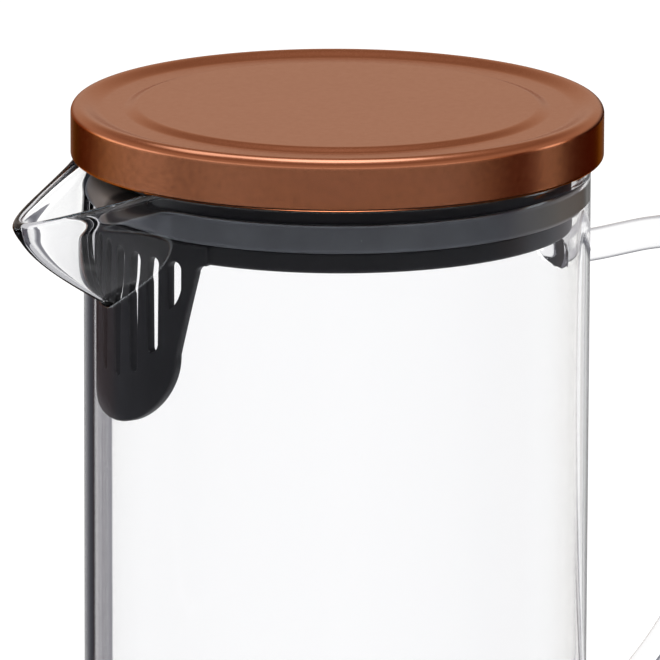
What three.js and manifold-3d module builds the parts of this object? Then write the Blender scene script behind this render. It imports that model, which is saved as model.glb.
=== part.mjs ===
// Clear glass pitcher with a pulled pouring lip and a rod handle fused to the wall while hot.
// Its lift-off lid is a copper-coloured metal cap on a black plug. The plug carries a silicone
// seal and a slotted strainer, whose tongue hangs behind the pouring lip.
// Lengths are millimetres and +Z is up. The origin is the centre of the flat underside,
// the lip points along -X and the handle along +X.

import * as THREE from 'three';
import { mergeVertices } from 'three/addons/utils/BufferGeometryUtils.js';
import Module from 'manifold-3d';

const wasm = await Module();
wasm.setup();

// Gap kept between neighbouring pieces, and how far a cut runs past what it cuts
const pieceGap = 0.3;
const overrun = 3;

// Glass body
const glassRadius = 51;
const glassWall = 2;
const rimHeight = 205;
const floorThickness = 3.2;
const heelRadius = 7;
const floorCornerRadius = 5.5;

// Pouring lip: a V pulled out of the wall, from a pinch below the rim up to the drooping tip
const lipReach = 19.3;
const lipHeight = 27.4;
const lipRiseHeight = 19;
const lipDrop = 9;
const lipHalfWidth = 24.5;
const lipRimHalfWidth = 21.5;
const lipPinchHalfWidth = 3;
const lipNoseShare = 0.12;
const lipFlankPower = 1.8;
const lipRimPower = 1.2;

// Rod handle, measured to the rod's centreline
const handleRodRadius = 3.35;
const handleUpperDepth = 25.4;
const handleSpan = 105;
const handleReach = 44;
const handleWeldSwell = 1.3;
const handleWeldLength = 7;
const handleFootSpread = 6;
const handleWeldSink = 1.2;

// Metal cap
const capSheet = 0.7;
const skirtClearance = 1.9;
const skirtOverlap = 1.2;
const capHeight = 10.6;
const capEdgeRadius = 1.8;
const capOuterSlope = 4.5;
const capChannelFloor = 4.3;
const capInnerSlope = 3;
const capChannelDepth = 1.1;
const capDiscDrop = 0.3;

// Plug and the groove that its seal sits in
const plugClearance = 3;
const plugWall = 2.2;
const plugFlangeThickness = 2.2;
const grooveDepth = 1.4;
const neckLength = 4.4;
const sealHeight = 5.8;
const sealEdgeWidth = 1.6;
const sealFreeStand = 1.9;
const sealPressedPower = 0.35;

// Strainer: a ring below the seal, a spigot up inside the plug, and the slotted tongue
const ringThickness = 4;
const ringClearance = 1.7;
const spigotWall = 1.6;
const spigotHeight = 5;
const tongueClearance = 0.5;
const tongueThickness = 1.85;
const tongueLength = 36.2;
const tongueRootOverlap = 1;
const tongueTopHalfWidth = 25;
const tongueLowHalfWidth = 20.8;
const tongueRoundHeight = 17;
const tongueFillet = 2;
const slotWidth = 3.1;
const slotPitch = 6;
const slotTopMargin = 0.1;
const slotLengths = [26.5, 24.5, 19.4, 8.6];
const slotLowWidths = [2.1, 2.1, 2.7, 3.1];
const slotSlants = [0, 0.4, 1.2, 4];

// Fineness of the round shapes
const turnedSegments = 72;
const lipColumns = 20;
const bodyColumns = 50;
const lipRows = 7;
const cornerSteps = 4;
const rimSteps = 6;
const handleSections = 44;
const handleSides = 12;
const sealSteps = 8;
const outlineSteps = 10;

// Sizes that several pieces share
const innerRadius = glassRadius - glassWall;
const capBottom = rimHeight - skirtOverlap;
const capInnerRadius = glassRadius + skirtClearance;
const capRadius = capInnerRadius + capSheet;
const plugRadius = innerRadius - plugClearance;
const grooveRadius = plugRadius - grooveDepth;
const plugBore = grooveRadius - plugWall;
const grooveTop = rimHeight - neckLength;
const sealTop = grooveTop - pieceGap;
const sealBottom = sealTop - sealHeight;
const ringTop = sealBottom - pieceGap;
const ringBottom = ringTop - ringThickness;
const ringRadius = innerRadius - ringClearance;

const clearGlass = new THREE.MeshStandardMaterial({
  color: '#e9f0ef', roughness: 0.03, metalness: 0, transparent: true, opacity: 0.35,
});
const copperFinish = new THREE.MeshStandardMaterial({ color: '#a0705a', roughness: 0.38, metalness: 0.9 });
const blackPlastic = new THREE.MeshStandardMaterial({ color: '#1b1b1d', roughness: 0.35, metalness: 0 });
const darkSilicone = new THREE.MeshStandardMaterial({ color: '#3c3e42', roughness: 0.45, metalness: 0 });

const clamp = THREE.MathUtils.clamp;
const smoothstep = THREE.MathUtils.smoothstep;

// Points of a circular arc in a radius and height profile, both ends included
function arc(centreRadius, centreHeight, radius, startAngle, endAngle, steps) {
  const points = [];
  for (let step = 0; step <= steps; step += 1) {
    const angle = startAngle + (endAngle - startAngle) * step / steps;
    points.push([centreRadius + radius * Math.cos(angle), centreHeight + radius * Math.sin(angle)]);
  }
  return points;
}

// Closed surface through rings of equally many points. It ends in a point at each end, or, with
// no end points, its last ring joins the first one.
function skin(rings, firstPoint = null, lastPoint = null) {
  const count = rings[0].length;
  const positions = rings.flat(2);
  const faces = [];
  const ringPairs = firstPoint ? rings.length - 1 : rings.length;
  for (let ring = 0; ring < ringPairs; ring += 1) {
    const next = (ring + 1) % rings.length;
    for (let point = 0; point < count; point += 1) {
      const beside = (point + 1) % count;
      const corners = [ring * count + point, ring * count + beside, next * count + beside, next * count + point];
      faces.push(corners[0], corners[1], corners[2]);
      faces.push(corners[0], corners[2], corners[3]);
    }
  }
  if (firstPoint) {
    const first = rings.length * count;
    const last = first + 1;
    const lastRing = (rings.length - 1) * count;
    positions.push(...firstPoint, ...lastPoint);
    for (let point = 0; point < count; point += 1) {
      const beside = (point + 1) % count;
      faces.push(first, beside, point);
      faces.push(lastRing + point, lastRing + beside, last);
    }
  }
  const geometry = new THREE.BufferGeometry();
  geometry.setAttribute('position', new THREE.Float32BufferAttribute(positions, 3));
  geometry.setIndex(faces);
  return geometry;
}

// Solid of revolution about Z. The profile lists [radius, height] clockwise, seen with the axis
// on its left, and is closed here where it doesn't end on the axis.
function turned(profile) {
  const closed = profile[0][0] > 0 ? [...profile, profile[0]] : profile;
  const points = closed.map(([radius, height]) => new THREE.Vector2(radius, height));
  const geometry = new THREE.LatheGeometry(points, turnedSegments);
  geometry.rotateX(Math.PI / 2);
  return geometry;
}

function ringProfile(inner, outer, bottom, top) {
  return [[inner, bottom], [outer, bottom], [outer, top], [inner, top]];
}

function toSolid(geometry) {
  const bare = geometry.clone();
  bare.deleteAttribute('normal');
  bare.deleteAttribute('uv');
  const merged = mergeVertices(bare);
  return new wasm.Manifold(new wasm.Mesh({
    numProp: 3,
    vertProperties: new Float32Array(merged.attributes.position.array),
    triVerts: new Uint32Array(merged.index.array),
  }));
}

function toGeometry(solid) {
  const mesh = solid.getMesh();
  const geometry = new THREE.BufferGeometry();
  geometry.setAttribute('position', new THREE.BufferAttribute(mesh.vertProperties, 3));
  geometry.setIndex(new THREE.BufferAttribute(mesh.triVerts, 1));
  return geometry;
}

function makePiece(name, geometry, material) {
  geometry.computeVertexNormals();
  const mesh = new THREE.Mesh(geometry, material);
  mesh.name = name;
  return mesh;
}

// A point of the jug at an angle counted from the lip's direction
function around(angle, radius, height) {
  return [-radius * Math.cos(angle), -radius * Math.sin(angle), height];
}

// 1 on the lip's keel line and 0 at its sides, where it blends into the cylinder
function lipShare(angle, halfWidth) {
  const side = Math.min(1, Math.abs(angle) * glassRadius / halfWidth);
  const rounded = Math.hypot(side, lipNoseShare) - lipNoseShare;
  return 1 - rounded / (Math.hypot(1, lipNoseShare) - lipNoseShare);
}

// How far the wall stands out beyond the cylinder
function lipStand(angle, height) {
  const climb = clamp((height - (rimHeight - lipHeight)) / lipRiseHeight, 0, 1);
  const rise = Math.sin(climb * Math.PI / 2);
  const halfWidth = lipPinchHalfWidth + (lipHalfWidth - lipPinchHalfWidth) * rise;
  return lipReach * rise * lipShare(angle, halfWidth) ** lipFlankPower;
}

function rimTop(angle) {
  return rimHeight - lipDrop * lipShare(angle, lipRimHalfWidth) ** lipRimPower;
}

// Angles of the wall's columns, closer together across the lip
function columnAngles() {
  const zone = lipHalfWidth / glassRadius;
  const rest = 2 * Math.PI - 2 * zone;
  const angles = [];
  for (let column = 0; column < lipColumns; column += 1) {
    angles.push(-zone + 2 * zone * column / lipColumns);
  }
  for (let column = 0; column < bodyColumns; column += 1) {
    angles.push(zone + rest * column / bodyColumns);
  }
  return angles.map((angle) => (angle > Math.PI ? angle - 2 * Math.PI : angle));
}

// One column of the glass: along the underside, up the outside, over the rim and down the inside
function glassColumn(angle) {
  const lipStart = rimHeight - lipHeight;
  const rimRound = glassWall / 2;
  const rimCentre = rimTop(angle) - rimRound;
  const rows = [];
  for (let row = 0; row < lipRows; row += 1) {
    rows.push(lipStart + (rimCentre - lipStart) * row / lipRows);
  }
  const stand = lipStand(angle, rimCentre);
  const outside = rows.map((height) => [glassRadius + lipStand(angle, height), height]);
  const inside = rows.map((height) => [innerRadius + lipStand(angle, height), height]).reverse();
  const innerCorner = innerRadius - floorCornerRadius;
  return [
    ...arc(glassRadius - heelRadius, heelRadius, heelRadius, -Math.PI / 2, 0, cornerSteps),
    ...outside,
    ...arc(innerRadius + rimRound + stand, rimCentre, rimRound, 0, Math.PI, rimSteps),
    ...inside,
    ...arc(innerCorner, floorThickness + floorCornerRadius, floorCornerRadius, 0, -Math.PI / 2, cornerSteps),
  ];
}

function glassJug() {
  const angles = columnAngles();
  const columns = angles.map(glassColumn);
  const rings = columns[0].map((unused, row) => (
    columns.map((column, index) => around(angles[index], ...column[row]))
  ));
  return makePiece('glass_jug', skin(rings, [0, 0, 0], [0, 0, floorThickness]), clearGlass);
}

// The handle's centreline leaves the wall level, turns down and runs in again to the lower weld.
// Each pair is a share of the reach from the wall and a share of the span below the upper weld.
const handlePathShares = [
  [0, 0], [0.16, -0.003], [0.44, -0.014], [0.6, -0.008], [0.75, 0.022], [0.885, 0.084], [0.97, 0.18],
  [1, 0.29], [0.97, 0.42], [0.88, 0.55], [0.745, 0.672], [0.57, 0.79], [0.4, 0.875], [0.22, 0.945], [0, 1],
];

function glassHandle() {
  const path = new THREE.CatmullRomCurve3(handlePathShares.map(([reachShare, spanShare]) => {
    const start = reachShare > 0 ? glassRadius : glassRadius - handleWeldSink;
    const height = rimHeight - handleUpperDepth - handleSpan * spanShare;
    return new THREE.Vector3(start + handleReach * reachShare, 0, height);
  }));
  const length = path.getLength();
  const side = new THREE.Vector3(0, 1, 0);
  const rings = [];
  for (let section = 0; section <= handleSections; section += 1) {
    const share = section / handleSections;
    const centre = path.getPointAt(share);
    const normal = side.clone().cross(path.getTangentAt(share));
    const toWeld = Math.min(share, 1 - share) * length;
    const nearWeld = Math.max(0, 1 - toWeld / handleWeldLength) ** 2;
    const radius = handleRodRadius + handleWeldSwell * nearWeld;
    const sideRadius = radius + handleFootSpread * nearWeld;
    const ring = [];
    for (let step = 0; step < handleSides; step += 1) {
      const turn = 2 * Math.PI * step / handleSides;
      const point = centre.clone();
      point.addScaledVector(normal, radius * Math.cos(turn));
      point.addScaledVector(side, sideRadius * Math.sin(turn));
      ring.push(point.toArray());
    }
    rings.push(ring);
  }
  const rod = toSolid(skin(rings, path.getPoint(0).toArray(), path.getPoint(1).toArray()));
  const bodyProfile = [[0, 0], [glassRadius + pieceGap, 0], [glassRadius + pieceGap, rimHeight], [0, rimHeight]];
  const body = toSolid(turned(bodyProfile));
  return makePiece('glass_handle', toGeometry(rod.subtract(body)), clearGlass);
}

// Height of the cap's upper face above its lower edge: a raised border, a shallow channel
// and a flat disc in the middle
function capTop(radius) {
  const ridge = capRadius - capEdgeRadius;
  const floorOuter = ridge - capOuterSlope;
  const floorInner = floorOuter - capChannelFloor;
  const disc = floorInner - capInnerSlope;
  if (radius > floorInner) {
    return capHeight - capChannelDepth * (1 - smoothstep(radius, floorOuter, ridge));
  }
  return capHeight - capDiscDrop - (capChannelDepth - capDiscDrop) * smoothstep(radius, disc, floorInner);
}

function lidCap() {
  const ridge = capRadius - capEdgeRadius;
  const floorOuter = ridge - capOuterSlope;
  const floorInner = floorOuter - capChannelFloor;
  const disc = floorInner - capInnerSlope;
  const radii = [0];
  for (let step = 0; step <= cornerSteps; step += 1) {
    radii.push(disc + capInnerSlope * step / cornerSteps);
  }
  for (let step = 0; step < cornerSteps; step += 1) {
    radii.push(floorOuter + capOuterSlope * step / cornerSteps);
  }
  const shoulder = capHeight - capEdgeRadius;
  const upper = radii.map((radius) => [radius, capTop(radius)]);
  const lower = radii.map((radius) => [radius, capTop(radius) - capSheet]);
  const profile = [
    ...lower,
    ...arc(ridge, shoulder, capEdgeRadius - capSheet, Math.PI / 2, 0, cornerSteps),
    [capInnerRadius, 0],
    [capRadius, 0],
    ...arc(ridge, shoulder, capEdgeRadius, 0, Math.PI / 2, cornerSteps),
    ...upper.reverse(),
  ];
  const raised = profile.map(([radius, height]) => [radius, capBottom + height]);
  return makePiece('lid_cap', turned(raised), copperFinish);
}

function lidPlug() {
  const floorInner = capRadius - capEdgeRadius - capOuterSlope - capChannelFloor;
  const top = capBottom + capTop(floorInner + capChannelFloor / 2) - capSheet - pieceGap;
  const flangeBottom = rimHeight + pieceGap;
  const flangeTop = flangeBottom + plugFlangeThickness;
  const flangeRadius = capInnerRadius - pieceGap;
  const profile = [
    [0, top - plugWall],
    [plugBore, top - plugWall],
    [plugBore, sealBottom],
    [grooveRadius, sealBottom],
    [grooveRadius, grooveTop],
    [plugRadius, grooveTop],
    [plugRadius, flangeBottom],
    [flangeRadius, flangeBottom],
    [flangeRadius, flangeTop],
    [plugRadius, flangeTop],
    [plugRadius, top],
    [0, top],
  ];
  return makePiece('lid_plug', turned(profile), blackPlastic);
}

// Outer radius of the seal: pressed flat against the glass, and bulging free behind the lip
function sealReach(angle, height) {
  return innerRadius + Math.min(lipStand(angle, height) - pieceGap, sealFreeStand);
}

function sealRing() {
  const inner = grooveRadius + pieceGap;
  const edge = inner + sealEdgeWidth;
  const middle = (sealTop + sealBottom) / 2;
  const freeness = (reach) => clamp((reach - innerRadius) / sealFreeStand, 0, 1);
  const rings = columnAngles().map((angle) => {
    const reach = sealReach(angle, middle);
    const power = THREE.MathUtils.lerp(sealPressedPower, 1, freeness(reach));
    const section = [[inner, sealBottom], [inner, sealTop]];
    for (let step = 0; step <= sealSteps; step += 1) {
      const turn = Math.PI * (1 / 2 - step / sealSteps);
      const lift = Math.sign(Math.sin(turn)) * Math.abs(Math.sin(turn)) ** power;
      const swell = Math.max(0, Math.cos(turn)) ** power;
      section.push([edge + (reach - edge) * swell, middle + sealHeight / 2 * lift]);
    }
    return section.map(([radius, height]) => around(angle, radius, height));
  });
  return makePiece('seal_ring', skin(rings), darkSilicone);
}

// Prism that is laid out looking along X, with Y across and Z up, and runs along X
function prismAlongX(shape, startX, depth) {
  const geometry = new THREE.ExtrudeGeometry(shape, {
    depth, bevelEnabled: false, curveSegments: outlineSteps,
  });
  const turn = new THREE.Matrix4().makeBasis(
    new THREE.Vector3(0, 1, 0),
    new THREE.Vector3(0, 0, 1),
    new THREE.Vector3(1, 0, 0),
  );
  geometry.applyMatrix4(turn);
  geometry.translate(startX, 0, 0);
  return toSolid(geometry);
}

// The tongue seen from the lip: filleted into the ring, tapering, and round at its lower end
function tongueOutline() {
  const low = ringBottom - tongueLength + tongueRoundHeight;
  const flare = tongueTopHalfWidth + tongueFillet;
  const filletZ = ringBottom - tongueFillet;
  const shape = new THREE.Shape();
  shape.moveTo(-flare, ringTop + overrun);
  shape.lineTo(-flare, ringBottom);
  shape.absarc(-flare, filletZ, tongueFillet, Math.PI / 2, 0, true);
  shape.lineTo(-tongueLowHalfWidth, low);
  shape.absellipse(0, low, tongueLowHalfWidth, tongueRoundHeight, Math.PI, 2 * Math.PI, false, 0);
  shape.lineTo(tongueTopHalfWidth, filletZ);
  shape.absarc(flare, filletZ, tongueFillet, Math.PI, Math.PI / 2, true);
  shape.lineTo(flare, ringTop + overrun);
  shape.closePath();
  return shape;
}

// A slot that narrows downwards; a positive slant lifts the positive side of its lower end
function slotOutline(length, lowWidth, slant) {
  const topRadius = slotWidth / 2;
  const lowRadius = lowWidth / 2;
  const top = ringBottom - slotTopMargin - topRadius;
  const low = ringBottom - slotTopMargin - length + lowRadius;
  const shape = new THREE.Shape();
  shape.absarc(0, top, topRadius, 0, Math.PI, false);
  for (let step = 0; step <= outlineSteps; step += 1) {
    const turn = Math.PI * (1 + step / outlineSteps);
    const across = Math.cos(turn);
    shape.lineTo(lowRadius * across, low + lowRadius * Math.sin(turn) + across * slant / 2);
  }
  shape.closePath();
  return shape;
}

function strainer() {
  const tongueOuter = innerRadius - tongueClearance;
  const tongueInner = tongueOuter - tongueThickness;
  const spigotOuter = plugBore - pieceGap;
  const spigotInner = spigotOuter - spigotWall;
  const tongueBottom = ringBottom - tongueLength;
  const ring = toSolid(turned([
    [spigotInner, ringBottom],
    [ringRadius, ringBottom],
    [ringRadius, ringTop],
    [spigotOuter, ringTop],
    [spigotOuter, ringTop + spigotHeight],
    [spigotInner, ringTop + spigotHeight],
  ]));
  const wall = toSolid(turned(ringProfile(tongueInner, tongueOuter, tongueBottom - overrun, ringTop)));
  const root = toSolid(turned(ringProfile(plugRadius - tongueRootOverlap, tongueOuter, ringBottom, ringTop)));
  const reach = tongueOuter + overrun;
  const outline = prismAlongX(tongueOutline(), -reach, reach);
  let solid = ring.add(wall.add(root).intersect(outline));
  const slotPitchAngle = slotPitch / tongueOuter;
  slotLengths.forEach((length, index) => {
    [1, -1].forEach((side) => {
      const outlineHere = slotOutline(length, slotLowWidths[index], -side * slotSlants[index]);
      const cutter = prismAlongX(outlineHere, -reach, reach - tongueInner + overrun);
      const turn = side * (index + 1 / 2) * slotPitchAngle;
      solid = solid.subtract(cutter.rotate([0, 0, THREE.MathUtils.radToDeg(turn)]));
    });
  });
  return makePiece('strainer', toGeometry(solid), blackPlastic);
}

const pitcher = new THREE.Group();
pitcher.name = 'pitcher';
pitcher.add(glassJug(), glassHandle(), lidCap(), lidPlug(), sealRing(), strainer());

export default pitcher;
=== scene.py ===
# Clear glass pitcher with a copper-coloured lid, a silicone seal and a slotted strainer.
# Sizes are in millimetres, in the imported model's frame: the lip points along -X, the handle
# along +X, and the origin is the centre of the underside.
import math

import bmesh
import bpy
import numpy as np
from mathutils import Matrix, Vector


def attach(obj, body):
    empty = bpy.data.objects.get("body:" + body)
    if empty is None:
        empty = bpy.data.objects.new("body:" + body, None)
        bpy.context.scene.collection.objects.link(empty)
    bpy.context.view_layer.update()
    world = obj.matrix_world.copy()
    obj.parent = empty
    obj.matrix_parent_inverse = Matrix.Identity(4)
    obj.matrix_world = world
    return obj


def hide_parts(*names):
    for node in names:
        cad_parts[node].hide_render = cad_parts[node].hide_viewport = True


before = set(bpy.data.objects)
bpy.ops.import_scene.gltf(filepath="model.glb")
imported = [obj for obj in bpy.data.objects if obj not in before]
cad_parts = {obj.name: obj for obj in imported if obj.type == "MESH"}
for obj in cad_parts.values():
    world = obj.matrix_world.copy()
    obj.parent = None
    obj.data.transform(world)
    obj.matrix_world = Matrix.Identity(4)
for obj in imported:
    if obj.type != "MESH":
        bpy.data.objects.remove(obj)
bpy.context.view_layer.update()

# Glass body. The real one is a borosilicate tube, 102 mm across with a 2 mm wall, closed at the
# foot in the flame, melted to a small bead at the rim and pulled out while soft into a lip.
MM = 0.001
GLASS_RADIUS, GLASS_WALL, GLASS_RIM = 51.0, 2.0, 205.0
INNER_RADIUS = GLASS_RADIUS - GLASS_WALL
HEEL_RADIUS, FLOOR_CORNER, FLOOR_TOP, PUNT_DEPTH = 7.0, 5.5, 3.2, 0.8
LIP_REACH, LIP_HEIGHT, LIP_RISE, LIP_DROP = 19.3, 27.4, 19.0, 9.0
LIP_HALF_WIDTH, LIP_RIM_HALF_WIDTH, LIP_PINCH, LIP_NOSE = 24.5, 21.5, 3.0, 0.12
LIP_FLANK_POWER, LIP_RIM_POWER = 1.8, 1.2
LOW_WELD, WELD_ZONE = 74.6, 9.0
RIM_BEAD, BEAD_HEIGHT = 0.4, 3.4
LIP_COLUMNS, BODY_COLUMNS, HEEL_STEPS, RIM_STEPS, CORNER_STEPS = 120, 180, 14, 14, 12
LOW_ROWS, WELD_ROWS, MIDDLE_ROWS, NECK_ROWS, LIP_ROWS, FLOOR_ROWS = 6, 26, 9, 14, 44, 10
FLOOR_START, PUNT_MARGIN, MERGE_DISTANCE = 3.0, 4.0, 1e-6


def linear(colour):
    """The linear colour, with alpha, of an sRGB hex value such as #a0705a."""
    parts = [int(colour[i:i + 2], 16) / 255 for i in (1, 3, 5)]
    return [p / 12.92 if p <= 0.04045 else ((p + 0.055) / 1.055) ** 2.4 for p in parts] + [1]


def add(tree, kind, inputs=None, **settings):
    """One new node. inputs gives each socket, by name or number, a value or a feeding output."""
    node = tree.nodes.new(kind)
    for name, value in settings.items():
        setattr(node, name, value)
    for key, value in (inputs or {}).items():
        if isinstance(value, bpy.types.NodeSocket):
            tree.links.new(value, node.inputs[key])
        else:
            node.inputs[key].default_value = value
    return node


def new_material(name):
    """An empty material and its tree."""
    material = bpy.data.materials.new(name)
    material.use_nodes = True
    material.node_tree.nodes.clear()
    return material, material.node_tree


def new_object(name, points, faces, material):
    """A smooth mesh object at the origin from points in millimetres."""
    mesh = bpy.data.meshes.new(name)
    mesh.from_pydata((np.asarray(points) * MM).tolist(), [], faces)
    mesh.materials.append(material)
    mesh.shade_smooth()
    made = bpy.data.objects.new(name, mesh)
    bpy.context.scene.collection.objects.link(made)
    return made


def face_out(made):
    """Merges doubled points and turns every face of a closed piece outwards."""
    shell = bmesh.new()
    shell.from_mesh(made.data)
    bmesh.ops.remove_doubles(shell, verts=shell.verts, dist=MERGE_DISTANCE)
    bmesh.ops.recalc_face_normals(shell, faces=shell.faces)
    shell.to_mesh(made.data)
    shell.free()


def skin(rings, wrap, first=None, last=None):
    """Points and faces of a surface through rings of equally many points, round each ring. The
    last ring joins the first one with wrap, or each end closes in a point."""
    count, size = rings.shape[:2]
    here = np.arange(count * size).reshape(count, size)
    low = here if wrap else here[:-1]
    high = np.roll(here, -1, 0) if wrap else here[1:]
    quads = np.stack([low, np.roll(low, -1, 1), np.roll(high, -1, 1), high], -1).reshape(-1, 4)
    points, faces = rings.reshape(-1, 3), quads.tolist()
    if first is not None:
        points = np.vstack([points, first, last])
        tip = count * size
        faces += [[tip, b, a] for a, b in zip(here[0], np.roll(here[0], -1))]
        faces += [[tip + 1, a, b] for a, b in zip(here[-1], np.roll(here[-1], -1))]
    return points, faces


def around(angle, radius, height):
    """Points at an angle counted from the lip's direction."""
    return np.stack([-radius * np.cos(angle), -radius * np.sin(angle), height + 0 * radius], -1)


def lip_share(angle, half_width):
    """1 on the lip's keel line, falling to 0 where its flanks meet the cylinder."""
    side = np.minimum(1, np.abs(angle) * GLASS_RADIUS / half_width)
    nose = np.hypot(1, LIP_NOSE) - LIP_NOSE
    return 1 - (np.hypot(side, LIP_NOSE) - LIP_NOSE) / nose


def lip_stand(angle, height):
    """How far the wall stands out beyond the cylinder."""
    climb = np.clip((height - (GLASS_RIM - LIP_HEIGHT)) / LIP_RISE, 0, 1)
    rise = np.sin(climb * np.pi / 2)
    half_width = LIP_PINCH + (LIP_HALF_WIDTH - LIP_PINCH) * rise
    return LIP_REACH * rise * lip_share(angle, half_width) ** LIP_FLANK_POWER


def smooth(share):
    """An eased step: 0 below 0, 1 above 1."""
    share = np.clip(share, 0, 1)
    return share * share * (3 - 2 * share)


def columns(lip_count, body_count):
    """Angles round the jug from the lip, closer together across the lip."""
    zone = LIP_HALF_WIDTH / GLASS_RADIUS
    lip = np.linspace(-zone, zone, lip_count, endpoint=False)
    body = np.linspace(zone, 2 * np.pi - zone, body_count, endpoint=False)
    angle = np.concatenate([lip, body])
    return np.where(angle > np.pi, angle - 2 * np.pi, angle)


def arc(centre, middle, radius, start, end, steps):
    """Radius and height points of an arc, both ends included."""
    turn = np.radians(np.linspace(start, end, steps + 1))
    return np.stack([centre + radius * np.cos(turn), middle + radius * np.sin(turn)], -1)


def glass_column(angle):
    """One column of the glass: underside, outside, rim, inside and inner floor. Its points lie
    closer together where the handle is fused on, and its rim is a bead."""
    rim_round = GLASS_WALL / 2 + RIM_BEAD
    droop = LIP_DROP * lip_share(angle, LIP_RIM_HALF_WIDTH) ** LIP_RIM_POWER
    top = GLASS_RIM - droop - rim_round
    lip_start = GLASS_RIM - LIP_HEIGHT
    heights = np.concatenate([
        np.linspace(HEEL_RADIUS, LOW_WELD - WELD_ZONE, LOW_ROWS)[1:-1],
        np.linspace(LOW_WELD - WELD_ZONE, LOW_WELD + WELD_ZONE, WELD_ROWS),
        np.linspace(LOW_WELD + WELD_ZONE, lip_start - WELD_ZONE, MIDDLE_ROWS)[1:-1],
        np.linspace(lip_start - WELD_ZONE, lip_start, NECK_ROWS, endpoint=False),
        np.linspace(lip_start, top, LIP_ROWS, endpoint=False),
    ])
    stand = lip_stand(angle, heights)
    bead = RIM_BEAD * smooth((heights - top) / BEAD_HEIGHT + 1)
    outside = np.stack([GLASS_RADIUS + stand + bead, heights], -1)
    inside = np.stack([INNER_RADIUS + stand - bead, heights], -1)[::-1]
    rim_centre = INNER_RADIUS + GLASS_WALL / 2 + lip_stand(angle, top)
    under = np.linspace(FLOOR_START, GLASS_RADIUS - HEEL_RADIUS - PUNT_MARGIN, FLOOR_ROWS)
    punt = PUNT_DEPTH * (1 - (under / under[-1]) ** 2)
    floor = np.linspace(INNER_RADIUS - FLOOR_CORNER, FLOOR_START, FLOOR_ROWS)[1:]
    return np.vstack([
        np.stack([under, punt], -1),
        arc(GLASS_RADIUS - HEEL_RADIUS, HEEL_RADIUS, HEEL_RADIUS, -90, 0, HEEL_STEPS),
        outside,
        arc(rim_centre, top, rim_round, 0, 180, RIM_STEPS),
        inside,
        arc(INNER_RADIUS - FLOOR_CORNER, FLOOR_TOP + FLOOR_CORNER, FLOOR_CORNER, 0, -90,
            CORNER_STEPS),
        np.stack([floor, np.full(len(floor), FLOOR_TOP)], -1),
    ])


# Borosilicate glass, flame-worked: IOR 1.47, almost colourless, mirror-smooth and faintly wavy,
# with about 22 mm from wave to wave.
WAVES_PER_METRE = 45
clear_glass, tree = new_material("borosilicate_glass_flame_polished")
where = add(tree, "ShaderNodeTexCoord").outputs["Object"]
waves = add(tree, "ShaderNodeTexNoise", {
    "Vector": where, "Scale": WAVES_PER_METRE, "Detail": 1})
bump = add(tree, "ShaderNodeBump", {
    "Height": waves.outputs["Fac"], "Strength": 0.01, "Distance": 1 * MM})
shader = add(tree, "ShaderNodeBsdfPrincipled", {
    "Base Color": linear("#fefeff"), "Roughness": 0.0, "IOR": 1.47,
    "Transmission Weight": 1.0, "Normal": bump.outputs["Normal"]})
add(tree, "ShaderNodeOutputMaterial", {"Surface": shader.outputs[0]})

turns = columns(LIP_COLUMNS, BODY_COLUMNS)
sections = np.stack([glass_column(angle) for angle in turns])
rings = around(turns[:, None], sections[..., 0], sections[..., 1]).transpose(1, 0, 2)
glass = new_object(
    "glass_body", *skin(rings, False, [0, 0, PUNT_DEPTH], [0, 0, FLOOR_TOP]), clear_glass)
face_out(glass)

# Handle. A solid glass rod, 6.7 mm thick, bent in the flame. Both ends are fused to the wall,
# where the soft rod has spread sideways into a flat oval foot. Its path is given in shares of
# its reach and its span.
ROD_RADIUS, ROD_SIDES, HANDLE_DEPTH, HANDLE_SPAN, HANDLE_REACH = 3.35, 32, 25.4, 105.0, 44.0
WELD_SPREAD, WELD_LENGTH, WELD_SINK, WELD_FLARE = 0.5, 2.0, 1.0, 0.98
FOOT_WIDENING, FOOT_LENGTH, FOOT_POWER, WRAP_START, WRAP_LENGTH = 1.5, 6.0, 3, 9.0, 5.0
KNOT_STEPS, WELD_STATIONS, ROD_STATIONS = 40, 26, 190
HANDLE_PATH_SHARES = [
    (0, 0), (0.16, -0.003), (0.44, -0.014), (0.6, -0.008), (0.75, 0.022), (0.885, 0.084),
    (0.97, 0.18), (1, 0.29), (0.97, 0.42), (0.88, 0.55), (0.745, 0.672), (0.57, 0.79),
    (0.4, 0.875), (0.22, 0.945), (0, 1),
]


def new_tree(name, sizes):
    """A Geometry Nodes tree with one geometry in and out and named inputs."""
    made = bpy.data.node_groups.new(name, "GeometryNodeTree")
    made.interface.new_socket("Geometry", in_out="INPUT", socket_type="NodeSocketGeometry")
    made.interface.new_socket("Geometry", in_out="OUTPUT", socket_type="NodeSocketGeometry")
    for size, kind in sizes.items():
        made.interface.new_socket(size, in_out="INPUT", socket_type="NodeSocket" + kind)
    return made, made.nodes.new("NodeGroupInput").outputs


def end_tree(made, geometry, entry):
    """Realizes instances, sets the material and closes the tree."""
    real = add(made, "GeometryNodeRealizeInstances", {"Geometry": geometry})
    finish = add(made, "GeometryNodeSetMaterial", {
        "Geometry": real.outputs[0], "Material": entry["Material"]})
    add(made, "NodeGroupOutput", {"Geometry": finish.outputs[0]})


def grow(name, points, edges, made, values, attributes=None):
    """A plain mesh that a tree grows from points and edges in millimetres."""
    mesh = bpy.data.meshes.new(name)
    mesh.from_pydata((np.asarray(points, float) * MM).tolist(), edges, [])
    for label, numbers in (attributes or {}).items():
        mesh.attributes.new(label, "FLOAT", "POINT").data.foreach_set("value", numbers)
    seed = bpy.data.objects.new(name, mesh)
    bpy.context.scene.collection.objects.link(seed)
    modifier = seed.modifiers.new("grow", "NODES")
    modifier.node_group = made
    sockets = {s.name: s.identifier for s in made.interface.items_tree if s.in_out == "INPUT"}
    for key, value in values.items():
        modifier[sockets[key]] = value
    return as_mesh(seed)


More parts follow.
